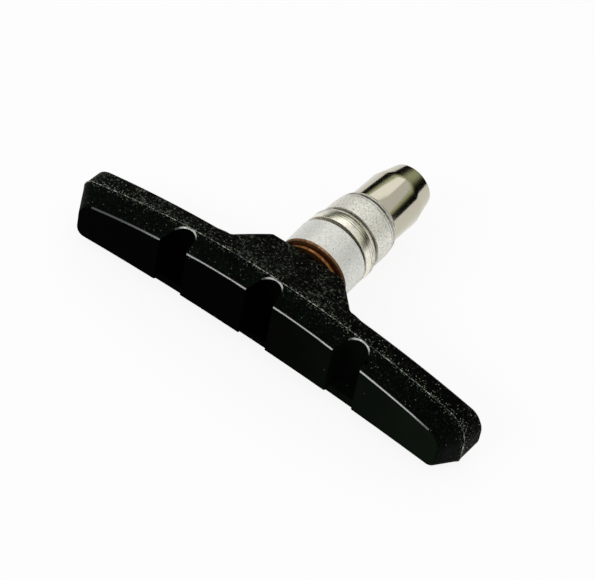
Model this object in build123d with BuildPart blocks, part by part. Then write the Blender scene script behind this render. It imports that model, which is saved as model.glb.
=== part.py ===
from build123d import *
import os
from math import cos, radians, sin, sqrt

os.makedirs("parts", exist_ok=True)

# Frame, in millimetres: X runs along the pad, +Y along the stud away from the rim,
# +Z points up with the pad curving over the wheel. The stud's axis is the Y axis and
# Y = 0 is the outer face of the thick dished washer, where the brake arm is clamped.

# Rubber pad: three outlines, at the back, at the mould's parting line and at the friction face.
# The two halves of the mould don't quite meet, so the outlines are shifted along the pad
PAD_THICKNESS = 7.5
BASE_THICKNESS = 3.2
BACK_LENGTH = 72.0
BACK_SHIFT = 0.15
PARTING_INSET = 0.425
PARTING_SHIFT = -0.375
FACE_INSET = 2.5
BACK_TOP = 4.9
PARTING_TOP = 5.05
FACE_TOP = 4.5
BACK_TOP_RADIUS = 170.0
PARTING_TOP_RADIUS = 141.0
FACE_TOP_RADIUS = 129.0
FACE_BOTTOM = -4.95
BOTTOM_RADIUS = 397.0
BOTTOM_DRAFT = 1.05
BACK_CORNER_RADIUS = 3.2
PARTING_LEFT_RADIUS = 2.2
PARTING_RIGHT_RADIUS = 4.5
FACE_CORNER_RADIUS = 3.0
BOTTOM_CORNER_RADIUS = 1.4
BACK_EDGE_CHAMFER = 0.6
FACE_EDGE_CHAMFER = 0.2

# Three water grooves across the friction face, open at the top and stopped by a low web below
GROOVE_SPACING = 15.95
GROOVE_MOUTH = 5.0
GROOVE_ROOT_RADIUS = 1.95
GROOVE_DEPTH = 4.1
GROOVE_WEB = 1.1
WEB_RECESS = 0.5

# Conical boss on the back, trimmed to a little less than the pad's own height
BOSS_HEIGHT = 4.7
BOSS_INSET = 0.35
BOSS_ROOT_RADIUS = 11.8
BOSS_END_RADIUS = 7.5
BOSS_EDGE_RADIUS = 0.7
BOSS_ROOT_FILLET = 0.8
BOSS_FLARE = 4.0

# Steel plate moulded into the base, and the M6 stud fixed in it
PLATE_LENGTH = 56.0
PLATE_INSET = 1.5
PLATE_THICKNESS = 1.6
PLATE_CORNER_RADIUS = 2.0
PLATE_COVER = 0.7
STUD_RADIUS = 3.0
STUD_CHAMFER = 0.6
SPIGOT_RADIUS = 2.0
COLLAR_WIDTH = 0.8
COLLAR_HEIGHT = 1.2

# Domed and dished washers: every seat is part of one sphere, a little wider than the domes
SEAT_MARGIN = 0.5
SEAT_CLEARANCE = 0.04
STACK_CLEARANCE = 0.05
BORE_CLEARANCE = 0.1
WASHER_CHAMFER = 0.25

INNER_DOME_RADIUS = 5.5
INNER_DOME_RIM = 0.4
INNER_DOME_SHIFT = 0.5

THICK_OVERHANG = 0.5
THICK_HEIGHT = 5.6
THICK_LIP_GAP = 0.78
THICK_TILT = 3.5
THICK_TILT_AXIS = Vector(0.43, 0, 0.90).normalized()

OUTER_DOME_RADIUS = 6.0
OUTER_DOME_RIM = 2.05

CUP_LIP_INSET = 0.35
CUP_TAPER = 0.4
CUP_STRAIGHT = 2.0
CUP_HEIGHT = 5.1
CUP_BORE_RADIUS = 3.6
CUP_LIP_GAP = 1.5
CUP_EDGE_CHAMFER = 0.3

# Cap nut with a hexagon socket in its outer end
NUT_RADIUS = 4.8
NUT_STRAIGHT = 6.7
NUT_LENGTH = 11.3
NUT_END_RADIUS = 3.75
NUT_BASE_CHAMFER = 0.45
NUT_END_CHAMFER = 0.4
NUT_THREAD_CLEARANCE = 0.05
SOCKET_ACROSS_FLATS = 5.0
SOCKET_DEPTH = 4.0
STUD_TO_SOCKET = 0.8


seat_radius = max(INNER_DOME_RADIUS, OUTER_DOME_RADIUS) + SEAT_MARGIN


def seat_height(radius):
    """Height of the seat sphere above its centre, at a radius from the stud's axis."""
    return sqrt(seat_radius**2 - radius**2)


def dish_height(radius):
    """Height of a dish over the seat sphere's centre, at a radius from the washer's axis."""
    return sqrt((seat_radius + SEAT_CLEARANCE) ** 2 - radius**2)


def dish_point(radius):
    """Point of a dish's half section at a radius from the washer's axis."""
    return (radius, dish_height(radius))


def seat_mouth(lip):
    """Radius of a dish whose lip is this far above the seat sphere's centre."""
    return sqrt((seat_radius + SEAT_CLEARANCE) ** 2 - lip**2)


def sag(radius, half_length):
    """Drop of a long edge from its middle to its end."""
    return radius - sqrt(radius**2 - half_length**2)


# Places along the stud that follow from the sizes above
collar_radius = STUD_RADIUS + COLLAR_WIDTH
washer_bore = STUD_RADIUS + BORE_CLEARANCE
inner_bore = washer_bore + INNER_DOME_SHIFT
thick_radius = INNER_DOME_RADIUS + THICK_OVERHANG
cup_lip_radius = OUTER_DOME_RADIUS - CUP_LIP_INSET
cup_top_radius = cup_lip_radius - CUP_TAPER
thick_lip = seat_height(INNER_DOME_RADIUS) + THICK_LIP_GAP
thick_top = thick_lip + THICK_HEIGHT
inner_centre_y = -thick_top
inner_rim_y = inner_centre_y + seat_height(INNER_DOME_RADIUS)
boss_end_y = inner_rim_y - INNER_DOME_RIM
pad_back_y = boss_end_y - BOSS_HEIGHT
parting_y = pad_back_y - BASE_THICKNESS
face_y = pad_back_y - PAD_THICKNESS
plate_back_y = pad_back_y - PLATE_COVER
plate_front_y = plate_back_y - PLATE_THICKNESS
collar_top_y = plate_back_y + COLLAR_HEIGHT
thick_reach = thick_top * cos(radians(THICK_TILT)) + thick_radius * sin(radians(THICK_TILT))
outer_flat_y = inner_centre_y + thick_reach + STACK_CLEARANCE
outer_rim_y = outer_flat_y + OUTER_DOME_RIM
outer_centre_y = outer_rim_y - seat_height(OUTER_DOME_RADIUS)
cup_lip = seat_height(OUTER_DOME_RADIUS) + CUP_LIP_GAP
cup_top = cup_lip + CUP_HEIGHT
nut_base_y = outer_centre_y + cup_top
nut_end_y = nut_base_y + NUT_LENGTH
socket_floor_y = nut_end_y - SOCKET_DEPTH
stud_end_y = socket_floor_y - STUD_TO_SOCKET

# The inner dome sits to one side of the stud by its play, and the thick washer leans back on it
lean_side = THICK_TILT_AXIS.cross(Vector(0, 1, 0))
inner_offset = lean_side * -INNER_DOME_SHIFT
thick_lean = thick_top * sin(radians(THICK_TILT))
thick_play = max(INNER_DOME_SHIFT, thick_lean - INNER_DOME_SHIFT)
thick_bore = (washer_bore + thick_play) / cos(radians(THICK_TILT))
thick_centre = inner_offset + Vector(0, inner_centre_y, 0)
thick_axis = Vector(0, 1, 0).rotate(Axis((0, 0, 0), THICK_TILT_AXIS), THICK_TILT)
thick_plane = Plane(thick_centre, x_dir=THICK_TILT_AXIS, z_dir=THICK_TILT_AXIS.cross(thick_axis))


def pad_outline(y, half, shift, top, top_radius, bottom, corners):
    """Outline of the pad at one distance along the stud, as a sketch on that plane."""
    left, right = shift - half, shift + half
    top_left = (left, top - sag(top_radius, left))
    top_right = (right, top - sag(top_radius, right))
    bottom_left = (left, bottom - sag(BOTTOM_RADIUS, left))
    bottom_right = (right, bottom - sag(BOTTOM_RADIUS, right))
    left_corner, right_corner, bottom_corner = corners
    with BuildSketch(Plane.XZ.offset(-y)) as outline:
        with BuildLine():
            ThreePointArc(top_left, (0, top), top_right)
            Line(top_right, bottom_right)
            ThreePointArc(bottom_right, (0, bottom), bottom_left)
            Line(bottom_left, top_left)
        make_face()
        fillet(outline.vertices().sort_by_distance(top_left)[0], radius=left_corner)
        fillet(outline.vertices().sort_by_distance(top_right)[0], radius=right_corner)
        fillet(outline.vertices().sort_by_distance(bottom_left)[0], radius=bottom_corner)
        fillet(outline.vertices().sort_by_distance(bottom_right)[0], radius=bottom_corner)
    return outline


def back_outline(y, inset):
    """Outline of the pad's back, which the boss also follows, set in by a width."""
    return pad_outline(
        y,
        BACK_LENGTH / 2 - inset,
        BACK_SHIFT,
        BACK_TOP - inset,
        BACK_TOP_RADIUS - inset,
        FACE_BOTTOM + inset,
        [BACK_CORNER_RADIUS - inset] * 3,
    )


def face_outline(y, inset):
    """Outline of the friction face, set in all round by the width of its edge."""
    return pad_outline(
        y,
        BACK_LENGTH / 2 - FACE_INSET - inset,
        0,
        FACE_TOP - inset,
        FACE_TOP_RADIUS - inset,
        FACE_BOTTOM + inset,
        [FACE_CORNER_RADIUS - inset, FACE_CORNER_RADIUS - inset, BOTTOM_CORNER_RADIUS - inset],
    )


def plate_outline():
    """Outline of the steel plate, set in from the pad's back all round."""
    return pad_outline(
        plate_back_y,
        PLATE_LENGTH / 2,
        0,
        BACK_TOP - PLATE_INSET,
        BACK_TOP_RADIUS,
        FACE_BOTTOM + PLATE_INSET,
        [PLATE_CORNER_RADIUS] * 3,
    )


# Boss: a cone about the stud, cut to the back's outline, with a foot that flares out under the edge
with BuildPart() as boss:
    boss_skirt = BOSS_ROOT_RADIUS + BOSS_ROOT_FILLET
    with BuildSketch(Plane((0, 0, 0), x_dir=(0, 0, 1), z_dir=(-1, 0, 0))) as boss_section:
        with BuildLine():
            Polyline(
                (0, plate_back_y),
                (boss_skirt + BOSS_FLARE, plate_back_y),
                (boss_skirt, pad_back_y),
                (BOSS_ROOT_RADIUS, pad_back_y),
                (BOSS_END_RADIUS, boss_end_y),
                (0, boss_end_y),
                close=True,
            )
        make_face()
        boss_root = boss_section.vertices().sort_by_distance((BOSS_ROOT_RADIUS, pad_back_y))[0]
        fillet(boss_root, radius=BOSS_ROOT_FILLET)
    revolve(axis=Axis.Y)
    boss_bounds = back_outline(boss_end_y, BOSS_INSET)
    extrude(boss_bounds.sketch, amount=boss_end_y - plate_back_y, mode=Mode.INTERSECT)
    fillet(boss.faces().sort_by(Axis.Y)[-1].edges(), radius=BOSS_EDGE_RADIUS)

# Section of one water groove, from the middle of its mouth
groove_places = [(step * GROOVE_SPACING, face_y) for step in (-1, 0, 1)]
with BuildSketch() as groove_profile:
    with BuildLine():
        groove_shoulder = GROOVE_DEPTH - GROOVE_ROOT_RADIUS
        Polyline(
            (-GROOVE_ROOT_RADIUS, groove_shoulder),
            (-GROOVE_MOUTH / 2, 0),
            (GROOVE_MOUTH / 2, 0),
            (GROOVE_ROOT_RADIUS, groove_shoulder),
        )
        ThreePointArc(
            (GROOVE_ROOT_RADIUS, groove_shoulder),
            (0, GROOVE_DEPTH),
            (-GROOVE_ROOT_RADIUS, groove_shoulder),
        )
    make_face()

# Rubber pad, moulded in one piece round the plate and the foot of the stud
with BuildPart() as pad:
    back = back_outline(pad_back_y, BACK_EDGE_CHAMFER)
    rim = back_outline(pad_back_y - BACK_EDGE_CHAMFER, 0)
    parting = pad_outline(
        parting_y,
        BACK_LENGTH / 2 - PARTING_INSET,
        PARTING_SHIFT,
        PARTING_TOP,
        PARTING_TOP_RADIUS,
        FACE_BOTTOM - BOTTOM_DRAFT,
        [PARTING_LEFT_RADIUS, PARTING_RIGHT_RADIUS, BOTTOM_CORNER_RADIUS],
    )
    shoulder = face_outline(face_y + FACE_EDGE_CHAMFER, 0)
    face = face_outline(face_y, FACE_EDGE_CHAMFER)
    loft([back.sketch, rim.sketch, parting.sketch, shoulder.sketch, face.sketch], ruled=True)
    add(boss.part)

    # Water grooves, and the shallow run-out over the web at the foot of each
    web_top = FACE_BOTTOM + GROOVE_WEB
    with BuildSketch(Plane.XY.offset(web_top)):
        with Locations(*groove_places):
            add(groove_profile.sketch)
    extrude(amount=PARTING_TOP - web_top + 1, mode=Mode.SUBTRACT)
    with BuildSketch(Plane.XY.offset(web_top)):
        with Locations(*groove_places):
            Rectangle(GROOVE_MOUTH, 2 * WEB_RECESS)
    extrude(amount=-2 * GROOVE_WEB, mode=Mode.SUBTRACT)

    # Hollow for the plate and the foot of the stud
    plate_bed = plate_outline()
    extrude(plate_bed.sketch, amount=PLATE_THICKNESS, mode=Mode.SUBTRACT)
    with BuildSketch(Plane.XZ.offset(-plate_back_y)):
        Circle(collar_radius)
    extrude(amount=-COLLAR_HEIGHT, mode=Mode.SUBTRACT)
    with BuildSketch(Plane.XZ.offset(-boss_end_y)):
        Circle(STUD_RADIUS)
    extrude(amount=boss_end_y - collar_top_y, mode=Mode.SUBTRACT)

# Steel plate inside the base
with BuildPart() as plate:
    plate_blank = plate_outline()
    extrude(plate_blank.sketch, amount=PLATE_THICKNESS)
    with BuildSketch(Plane.XZ.offset(-plate_back_y)):
        Circle(SPIGOT_RADIUS)
    extrude(amount=PLATE_THICKNESS, mode=Mode.SUBTRACT)

# Stud, with the collar that stands on the plate and the spigot riveted through it
with BuildPart() as stud:
    with BuildSketch(Plane.XY):
        with BuildLine():
            Polyline(
                (0, plate_front_y),
                (SPIGOT_RADIUS, plate_front_y),
                (SPIGOT_RADIUS, plate_back_y),
                (collar_radius, plate_back_y),
                (collar_radius, collar_top_y),
                (STUD_RADIUS, collar_top_y),
                (STUD_RADIUS, stud_end_y - STUD_CHAMFER),
                (STUD_RADIUS - STUD_CHAMFER, stud_end_y),
                (0, stud_end_y),
                close=True,
            )
        make_face()
    revolve(axis=Axis.Y)


def domed_profile(origin, flat_y, rim_y, bore, radius, centre_y):
    """Half section of a domed washer that sits on its flat and bulges towards +Y."""
    middle = (radius + bore) / 2
    with BuildSketch(Plane(origin)) as profile:
        with BuildLine():
            Polyline(
                (bore, centre_y + seat_height(bore)),
                (bore, flat_y),
                (radius, flat_y),
                (radius, rim_y),
            )
            ThreePointArc(
                (radius, rim_y),
                (middle, centre_y + seat_height(middle)),
                (bore, centre_y + seat_height(bore)),
            )
        make_face()
    return profile


# Domed washer on the boss
with BuildPart() as inner_dome:
    section = domed_profile(
        inner_offset, boss_end_y, inner_rim_y, inner_bore, INNER_DOME_RADIUS, inner_centre_y
    )
    revolve(section.sketch, axis=Axis(inner_offset, (0, 1, 0)))

# Thick dished washer, leaning on that dome as far as the washer above lets it
with BuildPart() as thick_cup:
    with BuildSketch(thick_plane):
        with BuildLine():
            Polyline(
                (seat_mouth(thick_lip), thick_lip),
                (thick_radius - WASHER_CHAMFER, thick_lip),
                (thick_radius, thick_lip + WASHER_CHAMFER),
                (thick_radius, thick_top - WASHER_CHAMFER),
                (thick_radius - WASHER_CHAMFER, thick_top),
                (thick_bore, thick_top),
                (thick_bore, dish_height(thick_bore)),
            )
            ThreePointArc(
                (thick_bore, dish_height(thick_bore)),
                dish_point((thick_bore + seat_mouth(thick_lip)) / 2),
                (seat_mouth(thick_lip), thick_lip),
            )
        make_face()
    revolve(axis=Axis(thick_centre, thick_axis))

# Domed washer above it
with BuildPart() as outer_dome:
    section = domed_profile(
        Vector(0, 0, 0), outer_flat_y, outer_rim_y, washer_bore, OUTER_DOME_RADIUS, outer_centre_y
    )
    revolve(section.sketch, axis=Axis.Y)

# Dished washer under the nut, rounded like a bowl
with BuildPart() as outer_cup:
    with BuildSketch(Plane.XY.move(Location((0, outer_centre_y, 0)))) as section:
        with BuildLine():
            Polyline(
                (seat_mouth(cup_lip), cup_lip),
                (cup_lip_radius, cup_lip),
                (cup_lip_radius, cup_lip + CUP_STRAIGHT),
            )
            TangentArc(
                (cup_lip_radius, cup_lip + CUP_STRAIGHT),
                (cup_top_radius, cup_top),
                tangent=(0, 1),
            )
            Polyline(
                (cup_top_radius, cup_top),
                (CUP_BORE_RADIUS, cup_top),
                (CUP_BORE_RADIUS, dish_height(CUP_BORE_RADIUS)),
            )
            ThreePointArc(
                (CUP_BORE_RADIUS, dish_height(CUP_BORE_RADIUS)),
                dish_point((CUP_BORE_RADIUS + seat_mouth(cup_lip)) / 2),
                (seat_mouth(cup_lip), cup_lip),
            )
        make_face()
        top_edge = section.vertices().sort_by(Axis.Y)[-2:].sort_by(Axis.X)[-1]
        chamfer(top_edge, length=CUP_EDGE_CHAMFER)
    revolve(axis=Axis.Y)

# Cap nut
with BuildPart() as nut:
    thread_bore = STUD_RADIUS + NUT_THREAD_CLEARANCE
    with BuildSketch(Plane.XY):
        with BuildLine():
            Polyline(
                (0, nut_base_y),
                (NUT_RADIUS - NUT_BASE_CHAMFER, nut_base_y),
                (NUT_RADIUS, nut_base_y + NUT_BASE_CHAMFER),
                (NUT_RADIUS, nut_base_y + NUT_STRAIGHT),
                (NUT_END_RADIUS, nut_end_y),
                (0, nut_end_y),
                close=True,
            )
        make_face()
    revolve(axis=Axis.Y)
    chamfer(nut.faces().sort_by(Axis.Y)[-1].edges(), length=NUT_END_CHAMFER)
    with BuildSketch(Plane.XZ.offset(-nut_base_y)):
        Circle(thread_bore)
    extrude(amount=nut_base_y - socket_floor_y, mode=Mode.SUBTRACT)
    with BuildSketch(Plane.XZ.offset(-nut_end_y)):
        RegularPolygon(SOCKET_ACROSS_FLATS / 2, 6, major_radius=False)
    extrude(amount=SOCKET_DEPTH, mode=Mode.SUBTRACT)

pieces = {
    "rubber_pad": pad,
    "backing_plate": plate,
    "stud": stud,
    "inner_domed_washer": inner_dome,
    "thick_dished_washer": thick_cup,
    "outer_domed_washer": outer_dome,
    "outer_dished_washer": outer_cup,
    "cap_nut": nut,
}
for name, piece in pieces.items():
    piece.part.label = name
    export_step(piece.part, f"parts/{name}.step")
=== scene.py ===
from math import atan2, cos, pi, radians, sin

import bmesh
import bpy
from mathutils import Matrix, Quaternion, Vector
from mathutils.noise import noise as noise_at


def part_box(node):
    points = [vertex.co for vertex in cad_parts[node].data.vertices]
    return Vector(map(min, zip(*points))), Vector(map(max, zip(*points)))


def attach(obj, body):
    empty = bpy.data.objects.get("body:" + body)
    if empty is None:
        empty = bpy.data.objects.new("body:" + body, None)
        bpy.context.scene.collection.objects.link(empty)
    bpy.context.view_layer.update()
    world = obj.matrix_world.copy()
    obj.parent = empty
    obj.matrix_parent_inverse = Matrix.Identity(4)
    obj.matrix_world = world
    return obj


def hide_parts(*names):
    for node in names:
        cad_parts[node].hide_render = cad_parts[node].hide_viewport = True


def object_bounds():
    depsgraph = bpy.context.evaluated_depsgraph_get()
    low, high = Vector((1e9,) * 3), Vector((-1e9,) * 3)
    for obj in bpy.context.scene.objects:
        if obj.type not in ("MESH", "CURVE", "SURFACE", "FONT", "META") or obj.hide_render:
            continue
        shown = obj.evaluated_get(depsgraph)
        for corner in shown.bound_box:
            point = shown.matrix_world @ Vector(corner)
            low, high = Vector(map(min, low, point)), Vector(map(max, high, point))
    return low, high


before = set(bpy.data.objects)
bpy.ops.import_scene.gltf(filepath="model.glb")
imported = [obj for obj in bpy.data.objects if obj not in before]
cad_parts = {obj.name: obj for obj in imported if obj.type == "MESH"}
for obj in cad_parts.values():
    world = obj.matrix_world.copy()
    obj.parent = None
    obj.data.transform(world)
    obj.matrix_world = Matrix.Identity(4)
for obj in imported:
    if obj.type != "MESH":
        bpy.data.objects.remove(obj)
cad_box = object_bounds()
scene = bpy.context.scene
MM = 0.001

# Camera, fitted to the photograph: place and near limit in metres, angles in degrees,
# lens and sensor in millimetres
CAMERA_PLACE = Vector((148.50, -277.27, 312.26)) * MM
CAMERA_NEAR = 0.01
CAMERA_AZIMUTH = 28.91
CAMERA_ELEVATION = 45.64
CAMERA_ROLL = 11.51
CAMERA_LENS = 180.0
CAMERA_SENSOR = 36.0

# Levels along the stud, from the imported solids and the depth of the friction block
BLOCK_DEPTH = 4.3 * MM
FACE_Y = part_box("rubber_pad")[0].y
PARTING_Y = FACE_Y + BLOCK_DEPTH
DOME_FLAT_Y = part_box("outer_domed_washer")[0].y
CUP_LIP_Y, CUP_TOP_Y = (corner.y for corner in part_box("outer_dished_washer"))
NUT_END_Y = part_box("cap_nut")[1].y

# Pad: width of the bright edge of its face, distances from the middle where that edge stops
# and where the ends start, and the slots of its materials
FACE_EDGE = 0.2 * MM
FACE_EDGE_REACH = 31 * MM
END_START = 30 * MM
BASE, SIDE, FACE, EDGE = range(4)

# Parts of a face's normal: square to an axis, leaning or turned upwards, and turned towards the rim
SQUARE = 0.9
LEANS_UP = 0.25
FACES_UP = 0.5
FACES_RIM = -0.4

# Edges: widths of their rounding, the angle from which they are sharp, and the reach of the weld
BLOCK_ROUND = 0.07 * MM
ARCH_ROUND = 0.18 * MM
METAL_ROUND = 0.05 * MM
ROUND_SEGMENTS = 3
SHARP = radians(25)
WELD = 0.0005 * MM

# Flash: reach of the parting line, spacing, radius, least share of the radius, sides,
# and sizes of its swelling
ON_PARTING = 0.02 * MM
FLASH_STEP = 0.25 * MM
FLASH_RADIUS = 0.16 * MM
FLASH_LEAST = 0.12
FLASH_SIDES = 6
FLASH_LUMP = 0.45 * MM
FLASH_WAVE = 2.5 * MM

# Dark specks and lines of painted shade on the metal: their colours, cells to a millimetre and radius of
# a speck in cells
SPECK_COLOUR = (0.03, 0.03, 0.02)
SHADE_LINE_COLOUR = (0.03, 0.026, 0.02)
SPECK_CELLS = 2.2
SPECK_RADIUS = 0.15

# Floor: half its width in metres, and the share of its look that is its own glow
FLOOR_HALF = 3.0
FLOOR_GLOW = 0.88

# Dark screen behind the set: metres, turns from +Y in degrees, and colours by the share of its height
FLAG_RADIUS = 0.7
FLAG_FOOT = 0.02
FLAG_TOP = 0.38
FLAG_TURNS = range(-60, 51, 10)
FLAG_COLOURS = ((0.45, (0.004, 0.004, 0.003)), (0.60, (0.06, 0.06, 0.04)), (0.85, (0.60, 0.65, 0.42)))

# Lamps: direction from the washers, distance and size in metres, power in watts, and twist in degrees
KEY_LAMP = ((-0.26, -0.78, 0.57), 0.6, (0.44, 0.085), 0.8, 16.0)
BACK_LAMP = ((-0.40, 0.65, 0.645), 0.7, (0.6, 0.25), 0.28, 0.0)
WORLD_STRENGTH = 0.8


def shader(name):
    """A new node material, with its tree and its surface shader."""
    material = bpy.data.materials.new(name)
    material.use_nodes = True
    tree = material.node_tree
    return material, tree, tree.nodes["Principled BSDF"]


def feed(tree, socket, value):
    """Link a socket to another one, or set it to a value."""
    if isinstance(value, bpy.types.NodeSocket):
        tree.links.new(value, socket)
    else:
        socket.default_value = value


def add_node(tree, kind, **values):
    """A node whose settings and inputs are set by name, or linked from another node's socket."""
    node = tree.nodes.new(kind)
    for key, value in values.items():
        if hasattr(node, key):
            setattr(node, key, value)
        else:
            feed(tree, node.inputs[key], value)
    return node


def place(tree, scale=(1, 1, 1)):
    """Object coordinates in millimetres, stretched by a scale."""
    coords = add_node(tree, "ShaderNodeTexCoord")
    mapping = add_node(tree, "ShaderNodeMapping", Vector=coords.outputs["Object"])
    mapping.inputs["Scale"].default_value = [s / MM for s in scale]
    return mapping.outputs["Vector"]


def along(tree, axis):
    """One object coordinate, in millimetres."""
    return add_node(tree, "ShaderNodeSeparateXYZ", Vector=place(tree)).outputs[axis]


def noise(tree, scale, detail, roughness=0.55, stretch=(1, 1, 1)):
    """Noise with features of about 1 / scale millimetres, squeezed by a stretch along each axis."""
    node = add_node(tree, "ShaderNodeTexNoise", Vector=place(tree, stretch), Scale=scale)
    node.inputs["Detail"].default_value = detail
    node.inputs["Roughness"].default_value = roughness
    return node.outputs["Fac"]


def grey(value):
    """A grey of one value."""
    return (value, value, value)


def ramp(tree, factor, *stops):
    """Colour ramp through (position, colour) stops."""
    node = add_node(tree, "ShaderNodeValToRGB", Fac=factor)
    elements = node.color_ramp.elements
    while len(elements) < len(stops):
        elements.new(0.5)
    for element, (position, colour) in zip(elements, stops):
        element.position = position
        element.color = (*colour, 1)
    return node.outputs["Color"]


def fade(tree, factor, start, end):
    """Ramp between two grey (position, value) stops."""
    return ramp(tree, factor, *((position, grey(value)) for position, value in (start, end)))


def calc(tree, operation, *values):
    """A math node on numbers and sockets."""
    node = add_node(tree, "ShaderNodeMath", operation=operation)
    for socket, value in zip(node.inputs, values):
        feed(tree, socket, value)
    return node.outputs["Value"]


def mix(tree, factor, under, over):
    """The colour of one socket, and another colour over it where the factor is 1."""
    node = add_node(tree, "ShaderNodeMix", data_type="RGBA")
    share, first, second = (node.inputs[i] for i in (0, 6, 7))
    feed(tree, share, factor)
    feed(tree, first, under)
    feed(tree, second, (*over, 1))
    return node.outputs[2]


def speckle(tree, scale, size, share):
    """Small round specks on a share of the cells, 1 on a speck and 0 beside it."""
    cells = add_node(tree, "ShaderNodeTexVoronoi", Vector=place(tree), Scale=scale)
    near = calc(tree, "LESS_THAN", cells.outputs["Distance"], size)
    chosen = add_node(tree, "ShaderNodeSeparateColor", Color=cells.outputs["Color"])
    return calc(tree, "MULTIPLY", near, calc(tree, "LESS_THAN", chosen.outputs[0], share))


def dress(tree, bsdf, colour, grain, roughness, depth):
    """Colour, roughness in the hollows and on the crests of a grain, and a bump of it in millimetres."""
    hollows, crests = roughness
    bump = add_node(tree, "ShaderNodeBump", Height=grain, Distance=depth * MM)
    feed(tree, bsdf.inputs["Base Color"], colour)
    feed(tree, bsdf.inputs["Roughness"], fade(tree, grain, (0.3, hollows), (0.7, crests)))
    feed(tree, bsdf.inputs["Normal"], bump.outputs["Normal"])


def rubber(name, colour, roughness, specular, height, depth):
    """Rubber from functions for its colour and for the height of its grain."""
    material, tree, bsdf = shader(name)
    dress(tree, bsdf, colour(tree), height(tree), roughness, depth)
    bsdf.inputs["Specular IOR Level"].default_value = specular
    return material


def from_parting(tree):
    """Distance along the stud from the parting line, in millimetres."""
    return calc(tree, "ABSOLUTE", calc(tree, "SUBTRACT", along(tree, "Y"), PARTING_Y / MM))


def glints_and_wear(tree, colour, shares, scale, size, dots):
    """A colour with pale dots on shares of the cells at the parting line and a millimetre from it:
    crowded at the parting line as a painted highlight, sparse further off as wear.
    """
    near, far = shares
    # Pale dots crowded on the parting line are a painted highlight; the sparse ones further off are wear.
    glint_and_wear_share = fade(tree, from_parting(tree), (0.3, near), (1.0, far))
    return mix(tree, speckle(tree, scale, size, glint_and_wear_share), colour, dots)


def base_colour(tree):
    """Olive grain on black, darker on a stretch of the +X half as painted shade, with pale dots and pale
    specks.
    """
    grain = noise(tree, 2.4, 3.0, 0.7)
    patches = calc(tree, "MULTIPLY", noise(tree, 0.25, 3.0), 0.3)
    stretch = calc(tree, "DIVIDE", along(tree, "X"), 40.0)
    # Painted shade: the grain is darkened on a stretch of the +X half.
    painted_shade_band = ramp(tree, stretch, (0.2, grey(0)), (0.65, grey(1)), (0.80, grey(1)), (0.86, grey(0)))
    patches = calc(tree, "ADD", patches, calc(tree, "MULTIPLY", painted_shade_band, 0.075))
    olive = [(0.25, 0.0002), (0.34, 0.0012), (0.42, 0.008), (0.51, 0.07)]
    stops = [(position, (0.88 * value, value, 0.72 * value)) for position, value in olive]
    colour = ramp(tree, calc(tree, "SUBTRACT", grain, patches), *stops)
    colour = glints_and_wear(tree, colour, (0.95, 0.07), 3.5, 0.28, (0.17, 0.20, 0.14))
    return mix(tree, speckle(tree, 1.6, 0.12, 0.10), colour, (0.18, 0.20, 0.17))


def side_colour(tree):
    """Green-black with a paler grain, pale dots of painted highlight and wear, and a few specks."""
    patches = noise(tree, 0.25, 3.0)
    grain = noise(tree, 3.0, 3.0, 0.6)
    colour = ramp(tree, patches, (0.35, (0.0002, 0.0005, 0.0002)), (0.7, (0.0010, 0.0022, 0.0012)))
    colour = mix(tree, fade(tree, grain, (0.52, 0), (0.72, 0.8)), colour, (0.008, 0.014, 0.009))
    colour = glints_and_wear(tree, colour, (1.0, 0.04), 3.4, 0.27, (0.085, 0.115, 0.075))
    return mix(tree, speckle(tree, 0.9, 0.06, 0.10), colour, (0.16, 0.18, 0.16))


def face_colour(tree):
    """Black, a little paler towards +X as painted light, with random mottling."""
    # Painted light: paler towards +X, with noise for mottling.
    painted_light_and_mottle = calc(tree, "ADD", calc(tree, "MULTIPLY", along(tree, "X"), 0.02), 0.1)
    painted_light_and_mottle = calc(tree, "ADD", painted_light_and_mottle, calc(tree, "MULTIPLY", noise(tree, 0.2, 3.0), 0.3))
    colour = ramp(tree, painted_light_and_mottle, (0.25, (0.0004, 0.0005, 0.0004)), (0.9, (0.0040, 0.0064, 0.0038)))
    return mix(tree, speckle(tree, 0.7, 0.05, 0.12), colour, (0.10, 0.11, 0.10))


def edge_colour(tree):
    """Black, and pale at the tops of the grooves as a painted highlight."""
    breaks = noise(tree, 1.4, 4.0, 0.65)
    colour = ramp(tree, breaks, (0.38, (0.001, 0.0014, 0.001)), (0.64, (0.008, 0.009, 0.008)))
    # Painted highlight: pale near the parting line, on the arch tops of the grooves.
    painted_highlight = fade(tree, from_parting(tree), (0.55, 1), (0.95, 0))
    return mix(tree, painted_highlight, colour, (0.42, 0.42, 0.39))


def flash_colour(tree):
    """Black, with pale stretches that are a painted highlight."""
    breaks = noise(tree, 2.4, 3.0, 0.6)
    return ramp(tree, breaks, (0.50, (0.002, 0.003, 0.002)), (0.58, (0.30, 0.31, 0.26)))


def base_grain(tree):
    """Height of the grain on the base and the flash."""
    return noise(tree, 3.6, 3.0, 0.7)


def block_grain(tree):
    """Height of the grain on the friction block."""
    return noise(tree, 2.5, 4.0, 0.65)


def painted_shade_line(tree, level, half_width):
    """Soft line of painted shade round the stud at a place along it, strong in some stretches and faint
    in others.
    """
    waver = calc(tree, "MULTIPLY", noise(tree, 1.2, 2.0), 0.12)
    height = calc(tree, "ADD", along(tree, "Y"), waver)
    away = calc(tree, "ABSOLUTE", calc(tree, "SUBTRACT", height, level / MM + 0.06))
    line = fade(tree, calc(tree, "DIVIDE", away, 2 * half_width), (0.2, 1), (0.8, 0))
    breaks = fade(tree, noise(tree, 0.5, 2.0), (0.28, 0.15), (0.56, 0.95))
    return calc(tree, "MULTIPLY", line, breaks)


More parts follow.
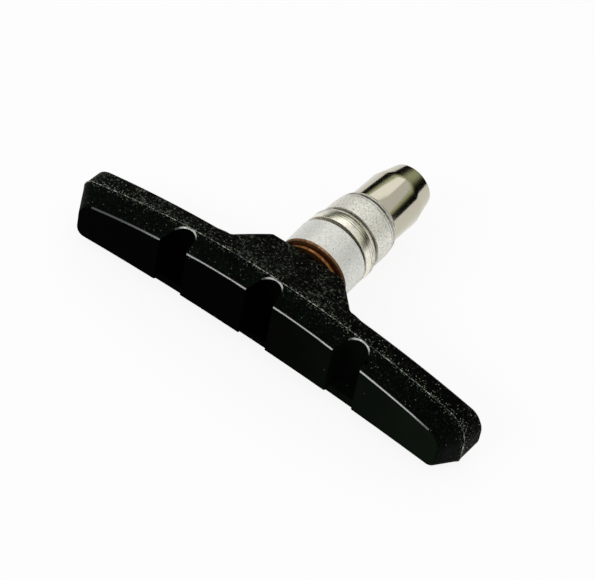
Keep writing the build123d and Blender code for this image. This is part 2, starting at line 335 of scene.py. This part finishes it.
def metal(name, colour, dark, roughness, grain_scale, depth, stretch=(1, 1, 1), specks=0.0, lines=()):
    """Plated or blasted metal: fine grain, a share of dark specks, and (level, half width) lines of
    painted shade.
    """
    material, tree, bsdf = shader(name)
    grain = noise(tree, grain_scale, 3.0, 0.65, stretch)
    shade = ramp(tree, grain, (0.3, dark), (0.6, colour))
    if specks:
        shade = mix(tree, speckle(tree, SPECK_CELLS, SPECK_RADIUS, specks), shade, SPECK_COLOUR)
    # Lines of painted shade.
    for level, half_width in lines:
        shade = mix(tree, painted_shade_line(tree, level, half_width), shade, SHADE_LINE_COLOUR)
    dress(tree, bsdf, shade, grain, roughness, depth)
    bsdf.inputs["Metallic"].default_value = 1.0
    return material


def new_piece(name, mesh):
    """A piece of the dressed part that rides on its one body."""
    piece = bpy.data.objects.new(name, mesh)
    scene.collection.objects.link(piece)
    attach(piece, "root")
    return piece


def welded_copy(node, name, materials):
    """A copy of a CAD node as a new piece, with its seams welded and smooth shading."""
    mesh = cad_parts[node].data.copy()
    mesh.name = name
    if "custom_normal" in mesh.attributes:
        mesh.attributes.remove(mesh.attributes["custom_normal"])
    shape = bmesh.new()
    shape.from_mesh(mesh)
    bmesh.ops.remove_doubles(shape, verts=shape.verts, dist=WELD)
    for face in shape.faces:
        face.smooth = True
        face.material_index = 0
    for edge in shape.edges:
        edge.smooth = len(edge.link_faces) == 2 and edge.calc_face_angle() < SHARP
    shape.to_mesh(mesh)
    shape.free()
    mesh.materials.clear()
    for material in materials:
        mesh.materials.append(material)
    piece = new_piece(name, mesh)
    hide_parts(node)
    return piece


def round_edges(piece, label, width, chosen, flat_material=None):
    """Rounding of the sharp edges whose two faces pass a test, or a flat with a material of its own."""
    shape = bmesh.new()
    shape.from_mesh(piece.data)
    weight = shape.edges.layers.float.new(label)
    for edge in shape.edges:
        if not edge.smooth and len(edge.link_faces) == 2 and chosen(*edge.link_faces):
            edge[weight] = 1.0
    shape.to_mesh(piece.data)
    shape.free()
    rounding = piece.modifiers.new(label, "BEVEL")
    rounding.width = width
    rounding.limit_method = "WEIGHT"
    rounding.edge_weight = label
    rounding.use_clamp_overlap = False
    if flat_material is None:
        rounding.segments = ROUND_SEGMENTS
        rounding.harden_normals = True
    else:
        rounding.segments = 1
        rounding.mark_sharp = True
        rounding.material = flat_material


def pad_slot(face):
    """Which of the pad's materials a face has."""
    middle = face.calc_center_median()
    if middle.y > PARTING_Y:
        return BASE
    near_face = middle.y < FACE_Y + FACE_EDGE and abs(face.normal.y) < SQUARE
    if near_face and face.normal.z > LEANS_UP and abs(middle.x) < FACE_EDGE_REACH:
        return EDGE
    upper_side = abs(face.normal.z) > FACES_UP and middle.z > 0
    end = abs(middle.x) > END_START and face.normal.y > -SQUARE
    return SIDE if upper_side or end else FACE


def is_arch(a, b):
    """Edge between the block's upper side and the round root of a groove."""
    if {a.material_index, b.material_index} != {SIDE, FACE}:
        return False
    return max(a.normal.z, b.normal.z) > SQUARE and min(a.normal.y, b.normal.y) < FACES_RIM


def is_block(a, b):
    """Any other edge of the friction block, its parting line included."""
    return min(a.calc_center_median().y, b.calc_center_median().y) < PARTING_Y and not is_arch(a, b)


def any_edge(a, b):
    """Every edge."""
    return True


def build_pad():
    """Rubber pad: base and boss behind the parting line, friction block before it."""
    materials = [
        rubber("rubber_base", base_colour, (0.50, 0.30), 0.02, base_grain, 0.25),
        rubber("rubber_side", side_colour, (0.42, 0.60), 0.012, block_grain, 0.05),
        rubber("rubber_face", face_colour, (0.40, 0.58), 0.003, block_grain, 0.03),
        rubber("rubber_edge", edge_colour, (0.20, 0.13), 1.0, block_grain, 0.006),
    ]
    piece = welded_copy("rubber_pad", "pad_body", materials)
    shape = bmesh.new()
    shape.from_mesh(piece.data)
    for face in shape.faces:
        face.material_index = pad_slot(face)
    shape.to_mesh(piece.data)
    shape.free()
    round_edges(piece, "arch_round", ARCH_ROUND, is_arch, EDGE)
    round_edges(piece, "block_round", BLOCK_ROUND, is_block)
    return piece


def parting_outline(mesh):
    """Points of the pad's parting line, in order round it and evenly spaced."""
    corners = [v.co.copy() for v in mesh.vertices if abs(v.co.y - PARTING_Y) < ON_PARTING]
    corners.sort(key=lambda co: atan2(co.z, co.x))
    points = []
    for here, there in zip(corners, corners[1:] + corners[:1]):
        steps = max(1, round((there - here).length / FLASH_STEP))
        points += [here.lerp(there, i / steps) for i in range(steps)]
    return points


def build_flash(pad):
    """Thin bead of flash on the parting line, swelling and thinning, kept inside the part's box."""
    points = parting_outline(pad.data)
    count = len(points)
    verts = []
    for i, point in enumerate(points):
        course = points[(i + 1) % count] - points[i - 1]
        outward = Vector((course.z, 0, -course.x)).normalized()
        swell = 0.5 + 0.5 * noise_at(point / FLASH_LUMP) + 0.35 * noise_at(point / FLASH_WAVE)
        radius = FLASH_RADIUS * max(FLASH_LEAST, swell)
        for side in range(FLASH_SIDES):
            turn = 2 * pi * side / FLASH_SIDES
            spot = point + radius * (cos(turn) * outward + sin(turn) * Vector((0, 1, 0)))
            spot.x = min(max(spot.x, cad_box[0].x), cad_box[1].x)
            spot.z = max(spot.z, cad_box[0].z)
            verts.append(spot)
    faces = []
    for i in range(count):
        ring = i * FLASH_SIDES
        following = (i + 1) % count * FLASH_SIDES
        for side in range(FLASH_SIDES):
            beside = (side + 1) % FLASH_SIDES
            faces.append((ring + side, following + side, following + beside, ring + beside))
    mesh = bpy.data.meshes.new("parting_flash")
    mesh.from_pydata(verts, [], faces)
    mesh.polygons.foreach_set("use_smooth", [True] * len(faces))
    mesh.materials.append(rubber("rubber_flash", flash_colour, (0.5, 0.3), 0.5, base_grain, 0.1))
    new_piece("parting_flash", mesh)


def metal_piece(node, name, material, painted_shade_side=None):
    """A metal piece with rounded edges, and painted shade on its side towards the rim if a material for
    it is given.
    """
    piece = welded_copy(node, name, [material, painted_shade_side] if painted_shade_side else [material])
    if painted_shade_side:
        for face in piece.data.polygons:
            # Faces turned towards the rim take the painted shade.
            face.material_index = int(face.normal.y < FACES_RIM)
    round_edges(piece, "edge_round", METAL_ROUND, any_edge)


def build_metal():
    """Washers, nut, stud and plate."""
    # Lines of painted shade where the parts meet: on the cup below the nut, on the dome up to the cup's
    # lip, and at the nut's end.
    cup_shade_lines = [(CUP_TOP_Y - 0.75 * MM, 0.24), (CUP_TOP_Y - 1.4 * MM, 0.05)]
    dome_shade_lines = [
        (DOME_FLAT_Y + 1.25 * MM, 0.06),
        (DOME_FLAT_Y + 1.65 * MM, 0.08),
        (DOME_FLAT_Y + 2.1 * MM, 0.16),
        (CUP_LIP_Y - 0.15 * MM, 0.22),
    ]
    nut_shade_lines = [(NUT_END_Y - 0.25 * MM, 0.18)]
    alloy = metal(
        "blasted_alloy", (0.90, 0.90, 0.86), (0.63, 0.63, 0.59), (0.66, 0.50), 4.0, 0.02, specks=0.10
    )
    cup = metal(
        "cup_alloy", (0.95, 0.94, 0.87), (0.60, 0.59, 0.52), (0.62, 0.48), 3.5, 0.03,
        specks=0.45, lines=cup_shade_lines,
    )
    bright = metal(
        "bright_zinc", (0.95, 0.92, 0.83), (0.68, 0.64, 0.48), (0.36, 0.20), 2.0, 0.006,
        stretch=(1, 3, 1), specks=0.22, lines=dome_shade_lines,
    )
    # Inner dome: yellow zinc like the outer dome, darkened to brown as painted shade.
    yellow_zinc_in_shade = metal("yellow_zinc", (0.36, 0.15, 0.05), (0.05, 0.025, 0.012), (0.5, 0.35), 2.5, 0.03)
    chrome = metal(
        "nut_chrome", (0.54, 0.51, 0.41), (0.44, 0.41, 0.32), (0.15, 0.08), 3.0, 0.001,
        stretch=(1, 8, 1), lines=nut_shade_lines,
    )
    steel = metal("stud_steel", (0.55, 0.54, 0.5), (0.4, 0.39, 0.35), (0.45, 0.3), 4.0, 0.01)
    # Dark brown painted shade for the thick washer's side towards the pad, where it lies in shadow.
    painted_shade_side = metal("painted_shade_alloy", (0.26, 0.15, 0.07), (0.06, 0.035, 0.02), (0.55, 0.40), 2.5, 0.03)
    metal_piece("thick_dished_washer", "thick_cup", alloy, painted_shade_side)
    metal_piece("outer_dished_washer", "outer_cup", cup)
    metal_piece("outer_domed_washer", "outer_dome", bright)
    metal_piece("inner_domed_washer", "inner_dome", yellow_zinc_in_shade)
    metal_piece("cap_nut", "barrel_nut", chrome)
    metal_piece("stud", "threaded_stud", steel)
    metal_piece("backing_plate", "steel_plate", steel)


def stage_sheet(name, points, faces, material):
    """A sheet of the set, which isn't part of the object."""
    mesh = bpy.data.meshes.new(name)
    mesh.from_pydata(points, [], faces)
    mesh.materials.append(material)
    sheet = bpy.data.objects.new(name, mesh)
    scene.collection.objects.link(sheet)
    return sheet


def white_floor():
    """Pale floor, white to the eye and in reflections, that still takes the shadow."""
    material, tree, bsdf = shader("floor")
    bsdf.inputs["Base Color"].default_value = (0.9, 0.9, 0.9, 1)
    bsdf.inputs["Roughness"].default_value = 0.9
    bsdf.inputs["Specular IOR Level"].default_value = 0.0
    path = add_node(tree, "ShaderNodeLightPath")
    seen = calc(tree, "MAXIMUM", path.outputs["Is Camera Ray"], path.outputs["Is Glossy Ray"])
    seen = calc(tree, "MAXIMUM", seen, path.outputs["Is Transmission Ray"])
    glow = add_node(tree, "ShaderNodeEmission", Strength=1.0)
    blend = add_node(tree, "ShaderNodeMixShader", Fac=calc(tree, "MULTIPLY", seen, FLOOR_GLOW))
    tree.links.new(bsdf.outputs[0], blend.inputs[1])
    tree.links.new(glow.outputs[0], blend.inputs[2])
    tree.links.new(blend.outputs[0], tree.nodes["Material Output"].inputs["Surface"])
    signs = ((-1, -1), (1, -1), (1, 1), (-1, 1))
    corners = [(x * FLOOR_HALF, y * FLOOR_HALF, cad_box[0].z) for x, y in signs]
    stage_sheet("floor", corners, [(0, 1, 2, 3)], material)


def dark_flag():
    """Low dark screen round the back of the set, seen only in reflections."""
    material, tree, bsdf = shader("flag")
    share = calc(tree, "DIVIDE", along(tree, "Z"), FLAG_TOP / MM)
    feed(tree, bsdf.inputs["Base Color"], ramp(tree, share, *FLAG_COLOURS))
    bsdf.inputs["Roughness"].default_value = 1.0
    bsdf.inputs["Specular IOR Level"].default_value = 0.0
    turns = [radians(a) for a in FLAG_TURNS]
    ring = [(FLAG_RADIUS * sin(a), FLAG_RADIUS * cos(a)) for a in turns]
    points = [(x, y, z) for x, y in ring for z in (FLAG_FOOT, FLAG_TOP)]
    faces = [(2 * i, 2 * i + 2, 2 * i + 3, 2 * i + 1) for i in range(len(ring) - 1)]
    flag = stage_sheet("flag", points, faces, material)
    flag.visible_camera = False
    flag.visible_diffuse = False
    flag.visible_shadow = False


def area_light(name, direction, distance, size, power, twist):
    """Soft box that faces the washers from a direction and a distance, turned about its own axis."""
    lamp = bpy.data.lights.new(name, "AREA")
    lamp.shape = "RECTANGLE"
    lamp.size, lamp.size_y = size
    lamp.energy = power
    light = bpy.data.objects.new(name, lamp)
    scene.collection.objects.link(light)
    away = Vector(direction).normalized()
    light.location = away * distance
    turned = away.to_track_quat("Z", "Y") @ Quaternion((0, 0, 1), radians(twist))
    light.rotation_euler = turned.to_euler()


def build_stage():
    """Floor, screen, lamps and world."""
    white_floor()
    dark_flag()
    area_light("key", *KEY_LAMP)
    area_light("back", *BACK_LAMP)
    world = bpy.data.worlds.new("studio")
    world.use_nodes = True
    background = world.node_tree.nodes["Background"]
    background.inputs["Color"].default_value = (1, 1, 1, 1)
    background.inputs["Strength"].default_value = WORLD_STRENGTH
    scene.world = world


def build_camera():
    """Camera at the photograph's place and angle."""
    azimuth, elevation, roll = (radians(a) for a in (CAMERA_AZIMUTH, CAMERA_ELEVATION, CAMERA_ROLL))
    back = Vector((sin(azimuth) * cos(elevation), -cos(azimuth) * cos(elevation), sin(elevation)))
    right = Vector((cos(azimuth), sin(azimuth), 0))
    up = back.cross(right)
    turned = cos(roll) * right + sin(roll) * up
    axes = Matrix((turned, back.cross(turned), back)).transposed()
    data = bpy.data.cameras.new("camera")
    data.lens = CAMERA_LENS
    data.sensor_width = CAMERA_SENSOR
    data.clip_start = CAMERA_NEAR
    camera = bpy.data.objects.new("camera", data)
    camera.matrix_world = Matrix.Translation(CAMERA_PLACE) @ axes.to_4x4()
    scene.collection.objects.link(camera)
    scene.camera = camera


build_flash(build_pad())
build_metal()
build_stage()
build_camera()
scene.view_settings.view_transform = "Standard"
